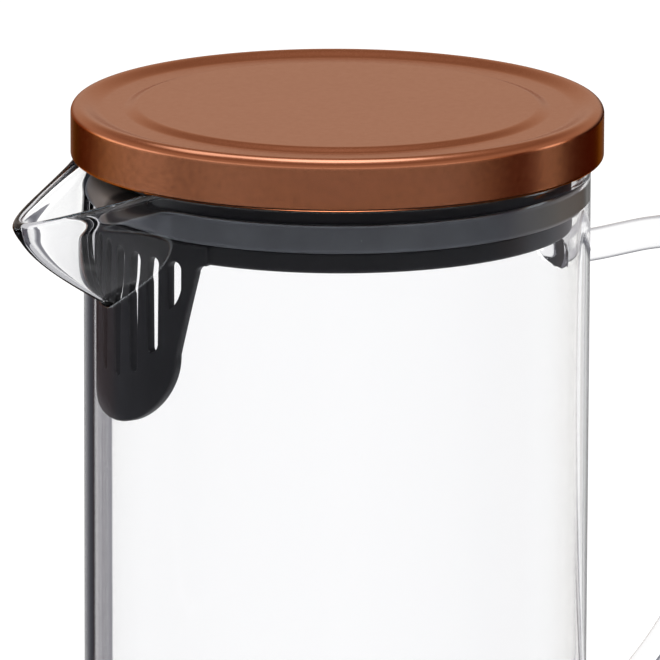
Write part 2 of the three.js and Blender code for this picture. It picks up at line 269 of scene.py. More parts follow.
def as_mesh(made):
    """Turns an object's modifiers into plain, smooth, outward mesh."""
    evaluated = made.evaluated_get(bpy.context.evaluated_depsgraph_get())
    finished = bpy.data.meshes.new_from_object(evaluated)
    finished.name = made.name
    made.modifiers.clear()
    made.data = finished
    face_out(made)
    finished.shade_smooth()
    return made


def join_solids(base, *others):
    """Unites closed pieces into the first one."""
    for other in others:
        union = base.modifiers.new("union", "BOOLEAN")
        union.operation, union.object, union.solver = "UNION", other, "MANIFOLD"
    as_mesh(base)
    for other in others:
        bpy.data.objects.remove(other)
    return base


def smooth_path(points, steps):
    """A Catmull-Rom line through the points, with its running length."""
    ends = np.vstack([2 * points[0] - points[1], points, 2 * points[-1] - points[-2]])
    t = np.linspace(0, 1, steps, endpoint=False)[:, None]
    fine = [0.5 * (2 * b + (c - a) * t + (2 * a - 5 * b + 4 * c - d) * t ** 2
                   + (3 * b - 3 * c + d - a) * t ** 3)
            for a, b, c, d in zip(ends, ends[1:], ends[2:], ends[3:])]
    fine = np.vstack(fine + [points[-1:]])
    steps_long = np.linalg.norm(np.diff(fine, axis=0), axis=1)
    return fine, np.concatenate([[0], np.cumsum(steps_long)])


# Geometry Nodes sweep a circle along the rod's centre line, thicker where it swells.
rod_tree, entry = new_tree("bent_glass_rod", {
    "Rod sides": "Int", "Rod radius": "Float", "Material": "Material"})
line = add(rod_tree, "GeometryNodeMeshToCurve", {"Mesh": entry["Geometry"]})
swell = add(rod_tree, "GeometryNodeInputNamedAttribute", {"Name": "swell"}, data_type="FLOAT")
sized = add(rod_tree, "GeometryNodeSetCurveRadius", {
    "Curve": line.outputs[0], "Radius": swell.outputs[0]})
section = add(rod_tree, "GeometryNodeCurvePrimitiveCircle", {
    "Resolution": entry["Rod sides"], "Radius": entry["Rod radius"]})
swept = add(rod_tree, "GeometryNodeCurveToMesh", {
    "Curve": sized.outputs[0], "Profile Curve": section.outputs[0], "Fill Caps": True})
end_tree(rod_tree, swept.outputs[0], entry)

shares = np.array(HANDLE_PATH_SHARES)
knots = np.stack([
    GLASS_RADIUS + HANDLE_REACH * shares[:, 0], 0 * shares[:, 0],
    GLASS_RIM - HANDLE_DEPTH - HANDLE_SPAN * shares[:, 1]], -1)
knots[[0, -1], 0] -= WELD_SINK
path, run = smooth_path(knots, KNOT_STEPS)
length = run[-1]
weld_zone = WELD_LENGTH + WELD_SINK
stations = np.concatenate([
    np.linspace(0, weld_zone, WELD_STATIONS),
    np.linspace(weld_zone, length - weld_zone, ROD_STATIONS)[1:-1],
    np.linspace(length - weld_zone, length, WELD_STATIONS)])
route = np.stack([np.interp(stations, run, path[:, i]) for i in range(3)], -1)
to_wall = np.clip(np.minimum(stations, length - stations) - WELD_SINK, 0, WELD_LENGTH)
spread = WELD_SPREAD * (1 - np.sqrt(1 - WELD_FLARE * (1 - to_wall / WELD_LENGTH) ** 2))
handle = grow(
    "handle_rod", route, [(i, i + 1) for i in range(len(route) - 1)], rod_tree,
    {"Rod sides": ROD_SIDES, "Rod radius": ROD_RADIUS * MM, "Material": clear_glass},
    {"swell": 1 + spread / ROD_RADIUS})

# Near the wall the rod widens sideways into its foot and follows the wall's curve.
for vertex in handle.data.vertices:
    foot = min(1, max(0, (GLASS_RADIUS + FOOT_LENGTH) * MM - vertex.co.x) / (FOOT_LENGTH * MM))
    vertex.co.y *= 1 + FOOT_WIDENING * foot ** FOOT_POWER
    sag = GLASS_RADIUS * MM - math.sqrt((GLASS_RADIUS * MM) ** 2 - vertex.co.y ** 2)
    near = min(1, max(0, (GLASS_RADIUS + WRAP_START) * MM - vertex.co.x) / (WRAP_LENGTH * MM))
    vertex.co.x -= sag * near
join_solids(glass, handle)
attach(glass, "jug")
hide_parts("glass_jug", "glass_handle")

# Lid plug. A black ABS moulding under the cap: its flange rests on the rim, and its neck holds
# the seal in a groove. Injection moulding gives it a satin skin with soft edges, and its black is
# painted darker than the strainer's, as painted shade under the cap.
SEAL_TOP, SEAL_BOTTOM = 200.3, 194.5
GROOVE_TOP, GROOVE_RADIUS, PLUG_RADIUS, PLUG_BORE = 200.6, 44.6, 46.0, 42.4
FLANGE_BOTTOM, FLANGE_TOP, FLANGE_RADIUS = 205.3, 207.5, 52.6
PLUG_TOP, PLUG_WALL, TURNED_COLUMNS = 212.3, 2.2, 256


def rounded(corners, steps=6, support=0.35):
    """Points of a profile whose corners (x, y, radius) are rounded, with a support point beside
    each arc, so that flat faces stay flat under smooth shading."""
    points = []
    last = len(corners) - 1
    for i, (x, y, radius) in enumerate(corners):
        here = np.array([x, y], float)
        if radius == 0:
            points.append(here)
            continue
        before = np.array(corners[i - 1][:2], float) - here
        after = np.array(corners[(i + 1) % (last + 1)][:2], float) - here
        before /= np.linalg.norm(before)
        after /= np.linalg.norm(after)
        half = math.acos(np.clip(before @ after, -1, 1)) / 2
        cut = radius / math.tan(half)
        middle = here + (before + after) / np.linalg.norm(before + after) * radius / math.sin(half)
        start, end = here + before * cut, here + after * cut
        points.append(start + before * support)
        first = math.atan2(*(start - middle)[::-1])
        sweep = math.remainder(math.atan2(*(end - middle)[::-1]) - first, 2 * math.pi)
        for step in range(steps + 1):
            turn = first + sweep * step / steps
            points.append(middle + radius * np.array([math.cos(turn), math.sin(turn)]))
        points.append(end + after * support)
    return np.array(points)


# Geometry Nodes turn a profile about Z: a grid with one row per profile point and one column
# per step round the axis, its first and last column and its poles merged.
turn_tree, entry = new_tree("turned_piece", {"Columns": "Int", "Material": "Material"})
size = add(turn_tree, "GeometryNodeAttributeDomainSize", {"Geometry": entry["Geometry"]})
points_count = size.outputs["Point Count"]
rows = add(turn_tree, "ShaderNodeMath", {0: points_count, 1: 0.0}).outputs[0]
one_more = add(turn_tree, "ShaderNodeMath", {0: entry["Columns"], 1: 1.0}).outputs[0]
grid = add(turn_tree, "GeometryNodeMeshGrid", {"Vertices X": one_more, "Vertices Y": rows})
number = add(turn_tree, "GeometryNodeInputIndex").outputs[0]
share = add(turn_tree, "ShaderNodeMath", {0: number, 1: rows}, operation="DIVIDE").outputs[0]
column = add(turn_tree, "ShaderNodeMath", {0: share}, operation="FLOOR").outputs[0]
row = add(turn_tree, "ShaderNodeMath", {0: number, 1: rows}, operation="MODULO").outputs[0]
profile = add(turn_tree, "GeometryNodeInputPosition").outputs[0]
sampled = add(turn_tree, "GeometryNodeSampleIndex", {
    "Geometry": entry["Geometry"], "Value": profile, "Index": row}, data_type="FLOAT_VECTOR")
part = add(turn_tree, "ShaderNodeSeparateXYZ", {0: sampled.outputs[0]}).outputs
step = add(turn_tree, "ShaderNodeMath", {0: column, 1: entry["Columns"]}, operation="DIVIDE")
angle = add(turn_tree, "ShaderNodeMath", {0: step.outputs[0], 1: math.tau}, operation="MULTIPLY")
place = add(turn_tree, "ShaderNodeCombineXYZ", {"Z": part["Z"]})
for axis, wave in (("X", "COSINE"), ("Y", "SINE")):
    factor = add(turn_tree, "ShaderNodeMath", {0: angle.outputs[0]}, operation=wave)
    reach = add(turn_tree, "ShaderNodeMath", {0: part["X"], 1: factor.outputs[0]},
                operation="MULTIPLY")
    turn_tree.links.new(reach.outputs[0], place.inputs[axis])
bent = add(turn_tree, "GeometryNodeSetPosition", {
    "Geometry": grid.outputs["Mesh"], "Position": place.outputs[0]})
closed = add(turn_tree, "GeometryNodeMergeByDistance", {
    "Geometry": bent.outputs[0], "Distance": MERGE_DISTANCE})
end_tree(turn_tree, closed.outputs[0], entry)


def turned(name, profile, material):
    """A piece turned about Z from a closed profile of radius and height points."""
    if profile[0, 0] > 0:
        profile = np.vstack([profile, profile[:1]])
    flat = np.stack([profile[:, 0], 0 * profile[:, 0], profile[:, 1]], -1)
    return grow(name, flat, [], turn_tree, {"Columns": TURNED_COLUMNS, "Material": material})


# ABS, injection moulded: IOR 1.54, near-black, satin from a fine tool texture with grains of
# about 0.3 mm, half the pattern's period, and faint flow marks that shift its roughness.
GRAIN_PERIOD, FLOW_PERIOD = 0.6, 14


def black_moulding(name, dark, light, smoothest, dullest):
    """A black moulded plastic between two tones and two roughnesses."""
    material, tree = new_material(name)
    where = add(tree, "ShaderNodeTexCoord").outputs["Object"]
    grain = add(tree, "ShaderNodeTexNoise", {
        "Vector": where, "Scale": 1 / (GRAIN_PERIOD * MM), "Detail": 2})
    flow = add(tree, "ShaderNodeTexNoise", {
        "Vector": where, "Scale": 1 / (FLOW_PERIOD * MM), "Detail": 3})
    tone = add(tree, "ShaderNodeMix", {
        0: flow.outputs["Fac"], 6: linear(dark), 7: linear(light)}, data_type="RGBA")
    dull = add(tree, "ShaderNodeMapRange", {
        "Value": flow.outputs["Fac"], "From Min": 0.3, "From Max": 0.7,
        "To Min": smoothest, "To Max": dullest})
    bump = add(tree, "ShaderNodeBump", {
        "Height": grain.outputs["Fac"], "Strength": 0.08, "Distance": 0.05 * MM})
    shader = add(tree, "ShaderNodeBsdfPrincipled", {
        "Base Color": tone.outputs[2], "Roughness": dull.outputs[0], "IOR": 1.54,
        "Normal": bump.outputs[0]})
    add(tree, "ShaderNodeOutputMaterial", {"Surface": shader.outputs[0]})
    return material


# The plug's tones are darker than the strainer's: painted shade from the cap above it.
black_matt_painted_shade = black_moulding("black_abs_matt_painted_shade", "#08080a", "#101012", 0.5, 0.6)
plug = turned("lid_plug_moulding", rounded([
    (0, PLUG_TOP - PLUG_WALL, 0), (PLUG_BORE, PLUG_TOP - PLUG_WALL, 0.8),
    (PLUG_BORE, SEAL_BOTTOM, 0.3), (GROOVE_RADIUS, SEAL_BOTTOM, 0.3),
    (GROOVE_RADIUS, GROOVE_TOP, 0.2), (PLUG_RADIUS, GROOVE_TOP, 0.3),
    (PLUG_RADIUS, FLANGE_BOTTOM, 0.4), (FLANGE_RADIUS, FLANGE_BOTTOM, 0.4),
    (FLANGE_RADIUS, FLANGE_TOP, 0.4), (PLUG_RADIUS, FLANGE_TOP, 0.3),
    (PLUG_RADIUS, PLUG_TOP, 0.8), (0, PLUG_TOP, 0)]), black_matt_painted_shade)
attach(plug, "lid")
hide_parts("lid_plug")

# Seal ring. A dark grey silicone ring in the plug's groove: the glass presses its face flat all
# round, and behind the lip, where no wall holds it, it bulges free.
SEAL_INNER, SEAL_EDGE, SEAL_FREE, SEAL_PRESS, BACK_INSET = 44.9, 46.5, 1.9, 0.015, 0.3
PRESSED_POWER, FREE_POWER, FACE_POINTS = 0.22, 0.9, 41
SEAL_LIP_COLUMNS, SEAL_BODY_COLUMNS = 90, 200
turns = columns(SEAL_LIP_COLUMNS, SEAL_BODY_COLUMNS)
middle, half_height = (SEAL_TOP + SEAL_BOTTOM) / 2, (SEAL_TOP - SEAL_BOTTOM) / 2
room = lip_stand(turns, np.full(len(turns), middle)) + SEAL_PRESS
reach = INNER_RADIUS + SEAL_FREE * np.tanh(room / SEAL_FREE)
free = np.clip((reach - INNER_RADIUS) / SEAL_FREE, 0, 1)[:, None]
power = PRESSED_POWER + (FREE_POWER - PRESSED_POWER) * free
spin = np.radians(np.linspace(90, -90, FACE_POINTS))[None]
lift = np.sign(np.sin(spin)) * np.abs(np.sin(spin)) ** power
push = np.clip(np.cos(spin), 0, None) ** power
face = np.stack([SEAL_EDGE + (reach[:, None] - SEAL_EDGE) * push, middle + half_height * lift], -1)
back = np.array([[SEAL_INNER, SEAL_BOTTOM + BACK_INSET], [SEAL_INNER, SEAL_TOP - BACK_INSET]])
back = np.broadcast_to(back, (len(turns), 2, 2))
section = np.concatenate([back, face], 1)
rings = around(turns[:, None], section[..., 0], section[..., 1])

# Silicone rubber, compression moulded: IOR 1.43, satin, with fine dust on it. Where the glass
# presses on it, the skin keeps its grey. That part narrows towards the lip, and near the handle
# it is painted paler and browner as a painted reflection. The free skin behind the lip is painted
# dark on its near side as painted shade under the cap, and paler on its far side as painted light.
PRESSED_PER_DEGREE, PRESSED_BLUR, PAINTED_REFLECTION_FROM, PAINTED_REFLECTION_TO = 0.25, 0.35, 108, 128
PAINTED_LIGHT_FROM, PAINTED_LIGHT_TO, SKIN_CLOUD, SKIN_DUST = -1.5, 0.5, 9, 6
silicone, tree = new_material("dark_grey_silicone_moulded")
where = add(tree, "ShaderNodeTexCoord").outputs["Object"]
cloud = add(tree, "ShaderNodeTexNoise", {
    "Vector": where, "Scale": 1 / (SKIN_CLOUD * MM), "Detail": 3})
dust = add(tree, "ShaderNodeTexVoronoi", {"Vector": where, "Scale": 1 / (SKIN_DUST * MM)})
speck = add(tree, "ShaderNodeMapRange", {
    "Value": dust.outputs["Distance"], "From Min": 0.02, "From Max": 0.035,
    "To Min": 0.35, "To Max": 0.0})
part = add(tree, "ShaderNodeSeparateXYZ", {0: where}).outputs
backwards = add(tree, "ShaderNodeMath", {0: part["X"], 1: -1.0}, operation="MULTIPLY")
aside = add(tree, "ShaderNodeMath", {0: part["Y"], 1: backwards.outputs[0]}, operation="ARCTAN2")
aside = add(tree, "ShaderNodeMath", {0: aside.outputs[0]}, operation="ABSOLUTE")
line = add(tree, "ShaderNodeMath", {
    0: aside.outputs[0], 1: math.degrees(PRESSED_PER_DEGREE) * MM, 2: SEAL_BOTTOM * MM},
    operation="MULTIPLY_ADD")
under = add(tree, "ShaderNodeMath", {0: line.outputs[0], 1: part["Z"]}, operation="SUBTRACT")
pressed = add(tree, "ShaderNodeMapRange", {
    "Value": under.outputs[0], "From Min": -PRESSED_BLUR * MM, "From Max": PRESSED_BLUR * MM})
tone = add(tree, "ShaderNodeMix", {
    0: cloud.outputs["Fac"], 6: linear("#565960"), 7: linear("#6c7077")}, data_type="RGBA")
# Near the handle the pressed skin is painted paler and browner: a painted reflection.
painted_reflection_side = add(tree, "ShaderNodeMapRange", {
    "Value": aside.outputs[0], "From Min": math.radians(PAINTED_REFLECTION_FROM),
    "From Max": math.radians(PAINTED_REFLECTION_TO)})
tone = add(tree, "ShaderNodeMix", {
    0: painted_reflection_side.outputs[0], 6: tone.outputs[2], 7: linear("#85807a")}, data_type="RGBA")
# The free skin's colour: painted shade on its near side, under the cap, and painted light on its
# far side.
painted_light_side = add(tree, "ShaderNodeMapRange", {
    "Value": part["Y"], "From Min": PAINTED_LIGHT_FROM * MM, "From Max": PAINTED_LIGHT_TO * MM})
loose = add(tree, "ShaderNodeMix", {
    0: painted_light_side.outputs[0], 6: linear("#332e2d"), 7: linear("#857b75")}, data_type="RGBA")
tone = add(tree, "ShaderNodeMix", {
    0: pressed.outputs[0], 6: loose.outputs[2], 7: tone.outputs[2]}, data_type="RGBA")
dusty = add(tree, "ShaderNodeMix", {
    0: speck.outputs[0], 6: tone.outputs[2], 7: linear("#8d9296")}, data_type="RGBA")
bump = add(tree, "ShaderNodeBump", {
    "Height": cloud.outputs["Fac"], "Strength": 0.1, "Distance": 0.2 * MM})
shader = add(tree, "ShaderNodeBsdfPrincipled", {
    "Base Color": dusty.outputs[2], "Roughness": 0.34, "IOR": 1.43, "Normal": bump.outputs[0]})
add(tree, "ShaderNodeOutputMaterial", {"Surface": shader.outputs[0]})
seal = new_object("seal_ring_silicone", *skin(rings, True), silicone)
face_out(seal)
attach(seal, "seal")
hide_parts("seal_ring")

# Strainer. A second black ABS moulding below the seal: a ring whose spigot plugs into the lid,
# and a curved tongue with eight slots that hangs behind the lip and holds back ice and leaves.
RING_TOP, RING_BOTTOM, RING_RADIUS = 194.2, 190.2, 47.3
SPIGOT_OUTER, SPIGOT_INNER, SPIGOT_TOP = 42.1, 40.5, 199.2
TONGUE_OUTER, TONGUE_THICK, TONGUE_LENGTH, TONGUE_EDGE = 48.5, 1.85, 36.2, 0.35
TONGUE_TOP_HALF, TONGUE_LOW_HALF, TONGUE_ROUND, TONGUE_FILLET = 25.0, 20.8, 17.0, 2.0
ROOT_THICK, ROOT_LOW, ROOT_HIGH, ROOT_CORNER, ROOT_INSET = 3.6, 190.4, 194.0, 0.6, 0.08
SLOT_WIDTH, SLOT_PITCH, SLOT_TOP, SLOT_COUNT, SLOT_SIDES = 3.1, 6.0, 190.1, 8, 40
SLOT_SIZES = {"Slot length": (26.5, 24.5, 19.4, 8.6), "Slot low width": (2.1, 2.1, 2.7, 3.1),
              "Slot slant": (0.0, 0.4, 1.2, 4.0)}
ROOT_MARGIN, ROOT_RISE, EDGE_POINTS = 2.0, 0.1, 12
FILLET_STEPS, SIDE_POINTS, FOOT_POINTS, TOP_POINTS = 8, 20, 61, 30
STRIP, STRIP_REACH = 1.2, 30.0  # a flat plate is cut into strips, so that it bends smoothly

black_abs = black_moulding("black_abs_moulded_satin", "#141416", "#232427", 0.3, 0.42)

# Geometry Nodes make a flat plate with rounded edges. Each slot is a circle whose lower half is
# moved down to the slot's length, narrowed and slanted. The four sizes of a kind run from the
# middle outwards. The edge profile is swept along the outline and the slots, and one face is
# filled between them on each side.
plate_inputs = {f"{kind} {i + 1}": size for kind, row in SLOT_SIZES.items()
                for i, size in enumerate(row)}
plate_inputs.update({"Slot width": SLOT_WIDTH, "Slot pitch": SLOT_PITCH, "Slot top": SLOT_TOP,
                     "Edge radius": TONGUE_EDGE})
plate_tree, entry = new_tree("slotted_plate", {
    "Thickness": "Float", "Slot count": "Int", **{name: "Float" for name in plate_inputs},
    "Material": "Material"})


def maths(operation, first, second=0.0):
    """The output of one Math node of the plate's tree."""
    return add(plate_tree, "ShaderNodeMath", {0: first, 1: second}, operation=operation).outputs[0]


def vector(x=0.0, y=0.0, z=0.0):
    """The output of one Combine XYZ node of the plate's tree."""
    return add(plate_tree, "ShaderNodeCombineXYZ", {"X": x, "Y": y, "Z": z}).outputs[0]


def stored(geometry, name, value):
    """The geometry with a value stored on its points."""
    return add(plate_tree, "GeometryNodeStoreNamedAttribute", {
        "Geometry": geometry, "Name": name, "Value": value},
        data_type="FLOAT", domain="POINT").outputs[0]


def recall(name):
    """A value stored on the points."""
    return add(plate_tree, "GeometryNodeInputNamedAttribute", {"Name": name},
               data_type="FLOAT").outputs[0]


number = add(plate_tree, "GeometryNodeInputIndex").outputs[0]
half_slot = maths("MULTIPLY", entry["Slot width"], 0.5)
round_curve = add(plate_tree, "GeometryNodeCurvePrimitiveCircle", {
    "Resolution": SLOT_SIDES, "Radius": half_slot})
clockwise = add(plate_tree, "GeometryNodeReverseCurve", {"Curve": round_curve.outputs[0]})
place = add(plate_tree, "ShaderNodeSeparateXYZ", {
    0: add(plate_tree, "GeometryNodeInputPosition").outputs[0]}).outputs
marked = stored(clockwise.outputs[0], "low", maths("LESS_THAN", place["Y"], -1e-5))
marked = stored(marked, "across", maths("DIVIDE", place["X"], half_slot))
marked = stored(marked, "deep", maths("DIVIDE", place["Y"], half_slot))
centre = maths("MULTIPLY", maths("SUBTRACT", entry["Slot count"], 1.0), 0.5)
first = vector(maths("MULTIPLY", maths("MULTIPLY", centre, entry["Slot pitch"]), -1.0),
               maths("SUBTRACT", entry["Slot top"], half_slot))
row = add(plate_tree, "GeometryNodeMeshLine", {
    "Count": entry["Slot count"], "Start Location": first,
    "Offset": vector(entry["Slot pitch"])}).outputs[0]
from_middle = maths("SUBTRACT", number, centre)
step = maths("FLOOR", maths("ABSOLUTE", from_middle))
for kind, sizes in SLOT_SIZES.items():
    choice = add(plate_tree, "GeometryNodeIndexSwitch", {"Index": step}, data_type="FLOAT")
    while len(choice.index_switch_items) < len(sizes):
        choice.index_switch_items.new()
    for i in range(len(sizes)):
        plate_tree.links.new(entry[f"{kind} {i + 1}"], choice.inputs[i + 1])
    row = stored(row, kind, choice.outputs[0])
row = stored(row, "side", maths("SIGN", from_middle))
placed = add(plate_tree, "GeometryNodeInstanceOnPoints", {"Points": row, "Instance": marked})
loose = add(plate_tree, "GeometryNodeRealizeInstances", {"Geometry": placed.outputs[0]})
low_half = maths("MULTIPLY", recall("Slot low width"), 0.5)
narrower = maths("SUBTRACT", low_half, half_slot)
slant = maths("MULTIPLY", maths("MULTIPLY", recall("side"), recall("Slot slant")), 0.5)
level = maths("SUBTRACT", maths("ADD", half_slot, low_half), recall("Slot length"))
level = maths("ADD", level, maths("MULTIPLY", recall("deep"), narrower))
level = maths("ADD", level, maths("MULTIPLY", recall("across"), slant))
slots = add(plate_tree, "GeometryNodeSetPosition", {
    "Geometry": loose.outputs[0], "Selection": recall("low"),
    "Offset": vector(maths("MULTIPLY", recall("across"), narrower), level)})
outline = add(plate_tree, "GeometryNodeMeshToCurve", {"Mesh": entry["Geometry"]})
loops = add(plate_tree, "GeometryNodeJoinGeometry", {"Geometry": slots.outputs[0]})
plate_tree.links.new(outline.outputs[0], loops.inputs[0])
flat = add(plate_tree, "GeometryNodeSetCurveNormal", {"Curve": loops.outputs[0]}, mode="Z_UP")

# The edge profile: a quarter round, a straight side and a quarter round, as one line of points.
half_thick = maths("MULTIPLY", entry["Thickness"], 0.5)
turn = maths("MULTIPLY_ADD", number, -math.pi / (EDGE_POINTS - 1))
turn.node.inputs[2].default_value = math.pi / 2
bulge = maths("MULTIPLY", maths("SUBTRACT", maths("COSINE", turn), 1.0), entry["Edge radius"])
side = maths("MULTIPLY", maths("SIGN", maths("SINE", turn)),
             maths("SUBTRACT", half_thick, entry["Edge radius"]))
level = maths("ADD", side, maths("MULTIPLY", maths("SINE", turn), entry["Edge radius"]))
edge_line = add(plate_tree, "GeometryNodeMeshLine", {"Count": EDGE_POINTS})
edge_bent = add(plate_tree, "GeometryNodeSetPosition", {
    "Geometry": edge_line.outputs[0], "Position": vector(bulge, level)})
edge = add(plate_tree, "GeometryNodeMeshToCurve", {"Mesh": edge_bent.outputs[0]})
walls = add(plate_tree, "GeometryNodeCurveToMesh", {
    "Curve": flat.outputs[0], "Profile Curve": edge.outputs[0]})
open_edge = add(plate_tree, "GeometryNodeInputMeshEdgeNeighbors").outputs[0]
is_open = add(plate_tree, "FunctionNodeCompare", {2: open_edge, 3: 1},
              data_type="INT", operation="EQUAL")
upper = add(plate_tree, "FunctionNodeCompare", {0: place["Z"], 1: 0.0},
            data_type="FLOAT", operation="GREATER_THAN")
rim_edges = add(plate_tree, "FunctionNodeBooleanMath", {
    0: is_open.outputs[0], 1: upper.outputs[0]}, operation="AND")
rims = add(plate_tree, "GeometryNodeMeshToCurve", {
    "Mesh": walls.outputs[0], "Selection": rim_edges.outputs[0]})
face = add(plate_tree, "GeometryNodeFillCurve", {"Curve": rims.outputs[0]})
shell = add(plate_tree, "GeometryNodeJoinGeometry", {"Geometry": walls.outputs[0]})
for height in (half_thick, maths("MULTIPLY", half_thick, -1.0)):
    moved = add(plate_tree, "GeometryNodeTransform", {
        "Geometry": face.outputs[0], "Translation": vector(0.0, 0.0, height)})
    plate_tree.links.new(moved.outputs[0], shell.inputs[0])
closed = add(plate_tree, "GeometryNodeMergeByDistance", {
    "Geometry": shell.outputs[0], "Distance": MERGE_DISTANCE})
end_tree(plate_tree, closed.outputs[0], entry)


def curved_plate(name, outline, thickness, slot_count, inset=0.0):
    """A slotted plate bent round the tongue's radius, from an outline that runs anticlockwise in
    arc length and height."""
    flat = np.column_stack([outline, np.zeros(len(outline))])
    edges = [(i, (i + 1) % len(flat)) for i in range(len(flat))]
    values = {"Thickness": thickness, **plate_inputs}
    values = {key: value * MM for key, value in values.items()}
    plate = grow(name, flat, edges, plate_tree, {
        **values, "Slot count": slot_count, "Material": black_abs})
    cut = bmesh.new()
    cut.from_mesh(plate.data)
    for at in np.arange(-STRIP_REACH, STRIP_REACH + 0.1, STRIP):
        bmesh.ops.bisect_plane(cut, geom=cut.verts[:] + cut.edges[:] + cut.faces[:],
                               plane_co=(at * MM, 0, 0), plane_no=(1, 0, 0), dist=1e-7)
    for vertex in cut.verts:
        s, z, n = vertex.co / MM
        radius = TONGUE_OUTER - inset - thickness / 2 + n
        vertex.co = Vector(around(s / TONGUE_OUTER, radius, z)) * MM
    bmesh.ops.triangulate(cut, faces=cut.faces)
    cut.to_mesh(plate.data)
    cut.free()
    face_out(plate)
    return plate


def tongue_outline():
    """The tongue's outline in arc length and height, anticlockwise from its top left corner."""
    fillet_z = RING_BOTTOM - TONGUE_FILLET
    low = RING_BOTTOM - TONGUE_LENGTH + TONGUE_ROUND
    corner = arc(-TONGUE_TOP_HALF - TONGUE_FILLET, fillet_z, TONGUE_FILLET, 90, 0, FILLET_STEPS)
    turn = np.radians(np.linspace(180, 360, FOOT_POINTS))
    foot = np.stack([TONGUE_LOW_HALF * np.cos(turn), low + TONGUE_ROUND * np.sin(turn)], -1)
    left = np.vstack([corner[:-1], np.linspace(corner[-1], foot[0], SIDE_POINTS)[:-1]])
    right = left[::-1] * [-1, 1]
    top = np.linspace([TONGUE_TOP_HALF + TONGUE_FILLET, ROOT_HIGH],
                      [-TONGUE_TOP_HALF - TONGUE_FILLET, ROOT_HIGH], TOP_POINTS)
    flat = np.vstack([left, foot, right, top])
    flat[:, 0] = TONGUE_OUTER * np.arcsin(flat[:, 0] / TONGUE_OUTER)
    return flat


root_half, root_high = TONGUE_TOP_HALF + TONGUE_FILLET + ROOT_MARGIN, ROOT_HIGH + ROOT_RISE
root_outline = rounded([
    (-root_half, ROOT_LOW, ROOT_CORNER), (root_half, ROOT_LOW, ROOT_CORNER),
    (root_half, root_high, ROOT_CORNER), (-root_half, root_high, ROOT_CORNER)])
tongue = curved_plate("strainer_tongue", tongue_outline(), TONGUE_THICK, SLOT_COUNT)
root = curved_plate("strainer_root", root_outline, ROOT_THICK, 0, ROOT_INSET)
strainer = turned("strainer_moulding", rounded([
    (SPIGOT_INNER, RING_BOTTOM, 0.4), (RING_RADIUS, RING_BOTTOM, 0.6),
    (RING_RADIUS, RING_TOP, 0.4), (SPIGOT_OUTER, RING_TOP, 0.3),
    (SPIGOT_OUTER, SPIGOT_TOP, 0.4), (SPIGOT_INNER, SPIGOT_TOP, 0.4)]), black_abs)
join_solids(strainer, tongue, root)
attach(strainer, "lid")
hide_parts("strainer")

# Cap. A shallow cover pressed from 0.7 mm steel sheet and finished in copper colour: its upper
# face has a raised border, a shallow channel and a flat disc, and its lower edge is rolled in.
CAP_BOTTOM, CAP_HEIGHT, CAP_RADIUS, CAP_SHEET, CAP_EDGE = 203.8, 10.6, 53.6, 0.7, 1.8
CAP_OUTER_SLOPE, CAP_CHANNEL, CAP_INNER_SLOPE, CAP_DEPTH, CAP_DISC_DROP = 4.5, 4.3, 3.0, 1.1, 0.3
HEM_RADIUS, HEM_HEIGHT = 0.7, 1.4
DISC_FLAT, DISC_RINGS, FORM_RINGS, EDGE_STEPS, LINING_STEPS = 38, 14, 90, 16, 10
WALL_SUPPORT, HEM_SUPPORT, LINING_SUPPORT, HEM_LEAD = 0.4, 0.3, 0.8, ((0.5, 0.25), (0.15, 0))


def cap_top(radius):
    """Height of the cap's upper face above its lower edge."""
    ridge = CAP_RADIUS - CAP_EDGE
    floor_outer = ridge - CAP_OUTER_SLOPE
    floor_inner = floor_outer - CAP_CHANNEL
    disc_edge = floor_inner - CAP_INNER_SLOPE
    climb = smooth((radius - floor_outer) / (ridge - floor_outer))
    fall = smooth((radius - disc_edge) / (floor_inner - disc_edge))
    border = CAP_HEIGHT - CAP_DEPTH * (1 - climb)
    disc = CAP_HEIGHT - CAP_DISC_DROP - (CAP_DEPTH - CAP_DISC_DROP) * fall
    return np.where(radius > floor_inner, border, disc)


ridge, shoulder = CAP_RADIUS - CAP_EDGE, CAP_HEIGHT - CAP_EDGE
radii = np.concatenate([
    np.linspace(0, DISC_FLAT, DISC_RINGS), np.linspace(DISC_FLAT, ridge, FORM_RINGS)[1:]])
upper = np.stack([radii, cap_top(radii)], -1)
lower = upper - [0, CAP_SHEET]
inner_wall, hem_inner = CAP_RADIUS - CAP_SHEET, CAP_RADIUS - 2 * HEM_RADIUS
# The sheet's section: lining, rolled hem and outer face. Support points keep the straight walls
# flat beside the arcs, and the lead takes the hem's cut edge back to the lining.
sheet = np.vstack([
    lower,
    arc(ridge, shoulder, CAP_EDGE - CAP_SHEET, 90, 0, LINING_STEPS)[1:],
    [[inner_wall, shoulder - WALL_SUPPORT], [inner_wall, HEM_HEIGHT + LINING_SUPPORT]],
    [[hem_inner + across, HEM_HEIGHT + up] for across, up in HEM_LEAD],
    arc(CAP_RADIUS - HEM_RADIUS, HEM_RADIUS, HEM_RADIUS, -180, 0, EDGE_STEPS),
    [[CAP_RADIUS, HEM_RADIUS + HEM_SUPPORT], [CAP_RADIUS, shoulder - WALL_SUPPORT]],
    arc(ridge, shoulder, CAP_EDGE, 0, 90, EDGE_STEPS)[:-1],
    upper[::-1]])

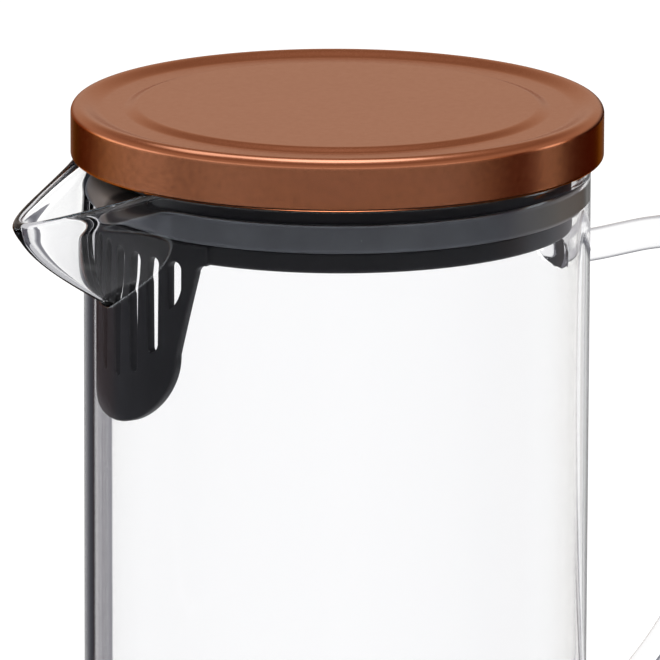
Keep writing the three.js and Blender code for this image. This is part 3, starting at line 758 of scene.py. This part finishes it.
# Copper-coloured lacquer on steel, sprayed and satin: a metal finish with a soft sheen, a very
# fine orange peel of about 1 mm, and a few specks of dust. On faces that turn away from up, such
# as the skirt, the reflection's edge tint is painted a deeper orange, a painted tint that makes
# the dark reflection look a deeper brown where it curves out of sight.
PEEL_SIZE, CLOUD_SIZE, DUST_SPACING = 1.2, 30, 16
copper_lacquer, tree = new_material("copper_coloured_metal_satin")
where = add(tree, "ShaderNodeTexCoord").outputs["Object"]
peel = add(tree, "ShaderNodeTexNoise", {
    "Vector": where, "Scale": 1 / (PEEL_SIZE * MM), "Detail": 1})
cloud = add(tree, "ShaderNodeTexNoise", {
    "Vector": where, "Scale": 1 / (CLOUD_SIZE * MM), "Detail": 3})
dust = add(tree, "ShaderNodeTexVoronoi", {"Vector": where, "Scale": 1 / (DUST_SPACING * MM)})
speck = add(tree, "ShaderNodeMapRange", {
    "Value": dust.outputs["Distance"], "From Min": 0.012, "From Max": 0.022,
    "To Min": 0.6, "To Max": 0.0})
tone = add(tree, "ShaderNodeMix", {
    0: cloud.outputs["Fac"], 6: linear("#b26f50"), 7: linear("#b77455")}, data_type="RGBA")
dusty = add(tree, "ShaderNodeMix", {
    0: speck.outputs[0], 6: tone.outputs[2], 7: linear("#5a3a2c")}, data_type="RGBA")
sheen = add(tree, "ShaderNodeMapRange", {
    "Value": peel.outputs["Fac"], "From Min": 0.0, "From Max": 1.0, "To Min": 0.18, "To Max": 0.26})
# Painted reflection tint: a deeper orange edge tint on faces turned away from up.
normal = add(tree, "ShaderNodeNewGeometry").outputs["Normal"]
level = add(tree, "ShaderNodeSeparateXYZ", {0: normal}).outputs["Z"]
is_upper = add(tree, "ShaderNodeMapRange", {"Value": level, "From Min": 0.05, "From Max": 0.3})
painted_edge_tint = add(tree, "ShaderNodeMix", {
    0: is_upper.outputs[0], 6: linear("#ffab59"), 7: linear("#ffecdc")}, data_type="RGBA")
shader = add(tree, "ShaderNodeBsdfPrincipled", {
    "Base Color": dusty.outputs[2], "Metallic": 1.0, "Roughness": sheen.outputs[0],
    "Specular Tint": painted_edge_tint.outputs[2]})
add(tree, "ShaderNodeOutputMaterial", {"Surface": shader.outputs[0]})
cap = turned("lid_cap_pressing", sheet + [0, CAP_BOTTOM], copper_lacquer)
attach(cap, "lid")
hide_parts("lid_cap")

# Studio. A pale floor under a white surround. Glass and metal see the surround as they would in
# a light tent: white behind the jug, a dark card beyond its left edge and soft boxes at the sides.
VIEW_TURN, VIEW_RISE = -24.5, 12.52
FLOOR_RADIUS, FLOOR_DROP, FLOOR_SIDES = 6.0, 0.0002, 96
BOX_SIZE, BOX_WATTS, BOX_PLACE, BOX_AIM = 1.6, 14.0, (-1.1, -1.3, 2.0), (0, 0, 0.12)
WHITE, PALE, GAP_TINT = (1, 1, 1, 1), (1.1, 1.1, 1.1, 1), (1.3, 0.4, 0.06, 1)
CLOSE = 40


def ramp(tree, position, stops):
    """Grey levels along a position of 0 to 1. The outermost ones go on to the ends."""
    node = add(tree, "ShaderNodeValToRGB", {0: position})
    points = node.color_ramp.elements
    while len(points) < len(stops):
        points.new(0.5)
    for point, (at, level) in zip(points, stops):
        point.position = at
    for point, (at, level) in zip(points, stops):
        point.color = (level, level, level, 1)
    return node.outputs[0]


def tinted(tree, colour, level, limit, green, blue):
    """The colour, warmer where the level is below 1 and cooler up to the limit above it."""
    level = add(tree, "ShaderNodeMath", {0: level, 1: limit}, operation="MINIMUM").outputs[0]
    shares = [add(tree, "ShaderNodeMath", {0: level, 1: power}, operation="POWER").outputs[0]
              for power in (green, blue)]
    tint = add(tree, "ShaderNodeCombineColor", {"Red": 1.0, "Green": shares[0], "Blue": shares[1]})
    return add(tree, "ShaderNodeMix", {0: 1.0, 6: colour, 7: tint.outputs[0]},
               data_type="RGBA", blend_type="MULTIPLY").outputs[2]


def layered(tree, colour, layers):
    """The colour with each layer laid over it by its share of 0 to 1."""
    for share, layer in layers:
        colour = add(tree, "ShaderNodeMix", {0: share, 6: colour, 7: layer},
                     data_type="RGBA").outputs[2]
    return colour


world = bpy.data.worlds.new("light_tent")
bpy.context.scene.world = world
world.use_nodes = True
tree = world.node_tree
tree.nodes.clear()
heading = add(tree, "ShaderNodeVectorRotate", {
    "Vector": add(tree, "ShaderNodeTexCoord").outputs["Generated"],
    "Angle": math.radians(-VIEW_TURN)}, rotation_type="Z_AXIS")
part = add(tree, "ShaderNodeSeparateXYZ", {0: heading.outputs[0]}).outputs
turn = add(tree, "ShaderNodeMath", {0: part["X"], 1: part["Y"]}, operation="ARCTAN2")
turn = add(tree, "ShaderNodeMath", {0: turn.outputs[0], 1: 1 / math.tau, 2: 0.5},
           operation="MULTIPLY_ADD").outputs[0]
widen = 180 / CLOSE
close_turn = add(tree, "ShaderNodeMath", {0: turn, 1: widen, 2: (1 - widen) / 2},
                 operation="MULTIPLY_ADD").outputs[0]
is_close = add(tree, "ShaderNodeMath", {0: turn, 1: 0.5, 2: CLOSE / 360},
               operation="COMPARE").outputs[0]
rise = add(tree, "ShaderNodeMath", {0: part["Z"], 1: 0.5, 2: 0.5},
           operation="MULTIPLY_ADD").outputs[0]
path = add(tree, "ShaderNodeLightPath").outputs


def by_turn(table):
    """Grey levels by the turn in degrees from the view's direction to the right."""
    return ramp(tree, turn, [(at / 360 + 0.5, level) for at, level in table])


def by_close_turn(table):
    """The same in finer steps, for turns of up to CLOSE degrees to either side."""
    return ramp(tree, close_turn, [(at / CLOSE / 2 + 0.5, level) for at, level in table])


def by_rise(table):
    """Grey levels by the elevation in degrees."""
    return ramp(tree, rise, [(math.sin(math.radians(at)) / 2 + 0.5, level)
                             for at, level in table])


# What metal and glass mirror: soft boxes to the sides that end above the table, a narrow dark
# gap at table height, a grey ceiling, bright boxes overhead and to the upper left, and the
# bright table right below. Dim parts are warm, and bright ones are cooler up to a limit.
sides = by_turn([
    (-155, 0.98), (-128, 1.2), (-108, 0.92), (-98, 1.6), (-86, 1.9), (-75, 1.7), (-66, 2.0),
    (-60, 1.7), (-52, 0.6), (-42, 0.2), (-12, 0.25), (0, 0.3), (8, 0.02), (60, 0.02), (67, 0.6),
    (71, 1.95), (80, 1.95), (85, 0.4), (89, 0.1), (99, 0.1), (107, 0.5), (130, 1.0), (180, 0.98)])
box_rise = by_rise([(-21, 0), (-19, 1.24)])
sides = add(tree, "ShaderNodeMath", {0: sides, 1: box_rise}, operation="MULTIPLY").outputs[0]
near_table = by_rise([(-82, 6.5), (-75, 0.1), (-68, 0.06), (-34, 0.06), (-28, 0)])
is_low = by_rise([(-34, 1), (-28, 0)])
ceiling = by_rise([
    (-90, 0.75), (0, 0.6), (20, 0.64), (30, 0.5), (40, 0.36), (56, 0.5), (68, 0.9), (72, 3.0)])
left_box = by_turn([(-105, 0), (-90, 2.2), (-35, 2.2), (-22, 0)])
upper_rise = by_rise([(44, 0), (54, 1)])
left_box = add(tree, "ShaderNodeMath", {0: left_box, 1: upper_rise}, operation="MULTIPLY")
ceiling = add(tree, "ShaderNodeMath", {0: ceiling, 1: left_box.outputs[0]},
              operation="MAXIMUM").outputs[0]
above = by_rise([(-3, 0), (7, 1)])
sides = tinted(tree, tinted(tree, sides, sides, 1.0, 0.45, 1.0), sides, 1.4, 0.25, 0.45)
ceiling = tinted(tree, ceiling, ceiling, 3.0, 0.25, 0.45)
gap = by_close_turn([
    (-28, 0.05), (-24, 0.08), (-19, 0.15), (-16, 0.2), (-12, 0.25), (-7.6, 0.4), (0, 0.4),
    (9.4, 0.3), (14.4, 0.15), (17.6, 0.2), (21, 0.3), (23.6, 0.2), (25.6, 0.1), (29.6, 0.05)])
gap_warmth = by_turn([
    (-62, 0), (-54, 1), (-36, 1), (-30, 0), (26, 0), (31, 1), (58, 1), (64, 0), (80, 0), (86, 1),
    (98, 1), (104, 0)])
gap = add(tree, "ShaderNodeMix", {0: gap_warmth, 6: gap, 7: GAP_TINT},
          data_type="RGBA", blend_type="MULTIPLY").outputs[2]
in_gap = by_rise([(-17.5, 0), (-16.5, 1), (-9.8, 1), (-9.2, 0)])
mirror = layered(tree, sides, [(above, ceiling), (is_low, near_table), (in_gap, gap)])

# What is seen through the glass: white, dark beyond the jug's left edge, and bright enough
# towards both edges to make up for the light that slanting glass turns away. Light that has
# bounced inside the glass on its way meets darker surroundings, which draw the glass's edges.
dark_card = by_close_turn([
    (-17.3, 1.1), (-14.1, 0.6), (-12.1, 0.35), (-10.7, 0.21), (-9.7, 0.2), (-8.9, 0.27),
    (-7.7, 0.32)])
white_card = by_close_turn([
    (-7.7, 1.33), (-6.5, 1.28), (-5, 1.2), (-3.7, 1.15), (-2.3, 1.12), (0, 1.12), (2.3, 1.1),
    (3.7, 1.14), (5, 1.22), (6.2, 1.3), (7.5, 1.38), (9.6, 1.6), (10.8, 1.7), (13.8, 2.1),
    (17.5, 2.0), (22, 1.9), (26, 1.1)])
past_edge = add(tree, "ShaderNodeMapRange", {
    "Value": turn, "From Min": 0.5 - 7.85 / 360, "From Max": 0.5 - 7.55 / 360})
card = layered(tree, dark_card, [(past_edge.outputs[0], white_card)])
card = layered(tree, PALE, [(is_close, card)])
low_band = by_rise([(-26, 0), (-24, 1), (-1, 1), (1, 0)])
steep = by_rise([(-90, 0.5), (-60, 0.55), (-48, 1.1), (30, 1.1), (46, 0.5)])
through = layered(tree, steep, [(low_band, card)])
close_light = by_close_turn([
    (-40, 0.1), (-32, 0.04), (-23.7, 0.04), (-21.7, 0.07), (-19.6, 0.11), (-17.3, 0.15),
    (-14.7, 0.22), (-11.8, 0.36), (-7.8, 0.5), (-3, 1.2), (0, 0.9), (5, 0.77), (10.1, 0.77),
    (13.4, 1.13), (16.7, 1.17), (19.3, 0.5), (21.6, 1.37), (23.6, 1.19), (25.3, 0.9),
    (27.5, 1.15), (29.6, 1.3), (34, 0.4)])
edge_light = by_turn([(-30, 0.1), (30, 0.4), (75, 0.4), (95, 0.1)])
edge_light = layered(tree, edge_light, [(is_close, close_light)])
other_light = by_rise([(-3, 0.6), (1, 0.15), (28, 0.15), (40, 0.6)])
edge_light = layered(tree, other_light, [(low_band, edge_light)])
bounced = add(tree, "ShaderNodeMath", {0: path["Glossy Depth"], 1: 0.5},
              operation="GREATER_THAN").outputs[0]
seen_through = layered(tree, through, [(bounced, edge_light)])
cool = add(tree, "ShaderNodeMath", {0: seen_through, 1: 0.93}, operation="POWER").outputs[0]
seen_through = add(tree, "ShaderNodeCombineColor", {
    "Red": seen_through, "Green": seen_through, "Blue": cool}).outputs[0]

soft = by_rise([(-90, 0.55), (0, 0.6), (90, 0.8)])
seen = layered(tree, soft, [
    (path["Is Glossy Ray"], mirror), (path["Is Transmission Ray"], seen_through),
    (path["Is Camera Ray"], WHITE)])
light = add(tree, "ShaderNodeBackground", {"Color": seen, "Strength": 1.0})
add(tree, "ShaderNodeOutputWorld", {"Surface": light.outputs[0]})

# The floor: white card. It glows a little for the camera, so that only the jug's shadow is grey.
white_floor, tree = new_material("white_card_matt")
path = add(tree, "ShaderNodeLightPath").outputs
matt = add(tree, "ShaderNodeBsdfDiffuse", {"Color": linear("#b4b4b4")})
level = add(tree, "ShaderNodeMath", {0: path["Is Camera Ray"], 1: 0.35, 2: 0.4},
            operation="MULTIPLY_ADD")
glow = add(tree, "ShaderNodeEmission", {"Color": WHITE, "Strength": level.outputs[0]})
both = add(tree, "ShaderNodeAddShader", {0: matt.outputs[0], 1: glow.outputs[0]})
add(tree, "ShaderNodeOutputMaterial", {"Surface": both.outputs[0]})
turn = np.linspace(0, math.tau, FLOOR_SIDES, endpoint=False)
points = np.stack([np.cos(turn), np.sin(turn), 0 * turn], -1) * FLOOR_RADIUS / MM
floor = new_object(
    "floor_card", points - [0, 0, FLOOR_DROP / MM], [list(range(FLOOR_SIDES))], white_floor)
floor.visible_glossy = floor.visible_transmission = False

# One large soft box above and to the left of the camera.
lamp = bpy.data.lights.new("soft_box", "AREA")
lamp.shape, lamp.size, lamp.energy = "SQUARE", BOX_SIZE, BOX_WATTS
box = bpy.data.objects.new("soft_box", lamp)
bpy.context.scene.collection.objects.link(box)
box.location = BOX_PLACE
box.rotation_euler = (Vector(BOX_AIM) - box.location).to_track_quat("-Z", "Y").to_euler()
box.visible_glossy = box.visible_transmission = False

# Camera. A long lens a little above the lid, fitted to the outlines of the lid and the body. It
# looks just below and beside the lid's lower edge, with a slight roll.
AIM_HEIGHT, DISTANCE, LENS, SENSOR = 0.2038, 2.05, 556.4, 36
PITCH, YAW, ROLL = 0.990, 0.037, -0.21
turn, rise = math.radians(VIEW_TURN), math.radians(VIEW_RISE)
right = Vector((math.cos(turn), math.sin(turn), 0))
back = Vector((math.sin(turn) * math.cos(rise), -math.cos(turn) * math.cos(rise),
               math.sin(rise)))
level = Matrix((right, back.cross(right), back)).transposed()
aim = (Matrix.Rotation(math.radians(YAW), 3, "Y") @ Matrix.Rotation(-math.radians(PITCH), 3, "X")
       @ Matrix.Rotation(-math.radians(ROLL), 3, "Z"))
lens = bpy.data.cameras.new("camera")
lens.lens, lens.sensor_width, lens.clip_start, lens.clip_end = LENS, SENSOR, 0.05, 50
camera = bpy.data.objects.new("camera", lens)
camera.matrix_world = Matrix.Translation(
    Vector((0, 0, AIM_HEIGHT)) + back * DISTANCE) @ (level @ aim).to_4x4()
bpy.context.scene.collection.objects.link(camera)
scene = bpy.context.scene
scene.camera = camera
scene.view_settings.view_transform = "Standard"
